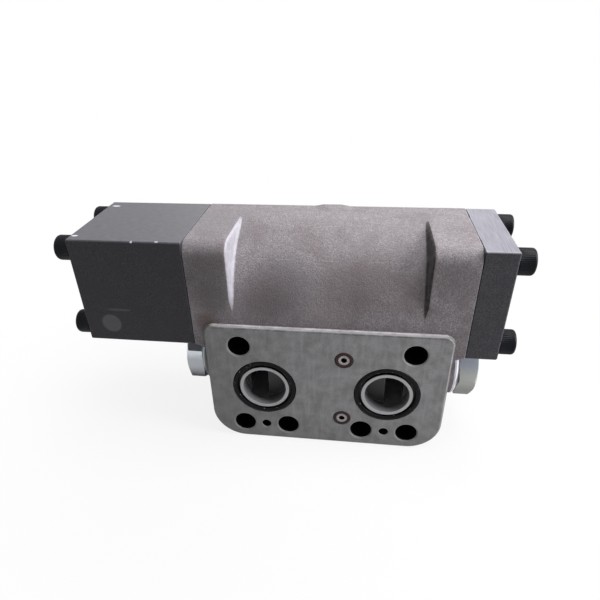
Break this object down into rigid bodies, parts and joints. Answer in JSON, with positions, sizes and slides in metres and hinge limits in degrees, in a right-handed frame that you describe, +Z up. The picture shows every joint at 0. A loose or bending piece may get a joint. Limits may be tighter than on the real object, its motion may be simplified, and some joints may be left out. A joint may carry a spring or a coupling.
{
  "type": "hydraulic counterbalance valve",
  "caption": "Travel motor counterbalance valve: cast body with two ports, square spring cover, end cover and hexagon check valve plugs.",
  "frame": {"origin": "on the motor face, midway between the two motor ports", "axes": "+X along the spool towards the flat end cover, +Y back from the motor face, +Z up towards the spool housing"},
  "size_m": [0.2918, 0.0784, 0.1531],
  "materials": {
    "cast_iron_body": "sand cast skin, machined faces and bores",
    "blackened_cover_steel": "blackened, oil stained",
    "ground_cover_steel": "ground top, mottled front",
    "black_oxide_screws": "black oxide",
    "black_seal_rubber": "smooth moulded",
    "port_seal_rubber": "smooth moulded, oiled",
    "brown_seal_rubber": "smooth moulded",
    "hardened_spool_steel": "ground and lapped",
    "seat_steel": "turned",
    "spring_steel": "shot peened",
    "zinc_plated_plug": "bright zinc plated",
    "phosphated_plug": "dull zinc plated"
  },
  "bodies": {
    "housing": {"valve_body": "cast_iron_body", "spring_cover": "blackened_cover_steel", "end_cover": "ground_cover_steel", "spring_cover_screws": "black_oxide_screws", "end_cover_screws": "black_oxide_screws", "spring_cover_seal": "black_seal_rubber", "end_cover_seal": "black_seal_rubber", "left_check_plug": "zinc_plated_plug", "right_check_plug": "phosphated_plug", "left_check_plug_seal": "black_seal_rubber", "right_check_plug_seal": "black_seal_rubber", "left_port_seal": "port_seal_rubber", "right_port_seal": "port_seal_rubber", "upper_pilot_seal": "brown_seal_rubber", "lower_pilot_seal": "brown_seal_rubber", "centring_spring": "spring_steel", "left_check_spring": "spring_steel", "right_check_spring": "spring_steel"},
    "inner_seat": {"inner_spring_seat": "seat_steel"},
    "spool": {"spool": "hardened_spool_steel", "spool_stem": "hardened_spool_steel", "spool_orifice_plug": "hardened_spool_steel"},
    "outer_seat": {"outer_spring_seat": "seat_steel"},
    "left_poppet": {"left_check_poppet": "hardened_spool_steel"},
    "right_poppet": {"right_check_poppet": "hardened_spool_steel"}
  },
  "joints": [
    {"name": "spool_shift_left", "type": "slide", "parent": "housing", "child": "inner_seat", "axis": [1, 0, 0], "range_m": [-0.008, 0], "stiffness_N_per_m": 12000, "springref_m": 0.01, "deforming": ["centring_spring"]},
    {"name": "spool_shift_right", "type": "slide", "parent": "inner_seat", "child": "spool", "axis": [1, 0, 0], "range_m": [0, 0.008], "stiffness_N_per_m": 12000, "springref_m": -0.01, "deforming": ["centring_spring"]},
    {"name": "outer_seat_follow", "type": "slide", "parent": "housing", "child": "outer_seat", "axis": [1, 0, 0], "range_m": [0, 0.008]},
    {"name": "left_check_open", "type": "slide", "parent": "housing", "child": "left_poppet", "axis": [-1, 0, 0], "range_m": [0, 0.006], "stiffness_N_per_m": 3000, "springref_m": -0.004, "deforming": ["left_check_spring"]},
    {"name": "right_check_open", "type": "slide", "parent": "housing", "child": "right_poppet", "axis": [1, 0, 0], "range_m": [0, 0.006], "stiffness_N_per_m": 3000, "springref_m": -0.004, "deforming": ["right_check_spring"]}
  ],
  "couplings": [
    {"joint": "outer_seat_follow", "follows": "spool_shift_right", "ratio": 1}
  ]
}
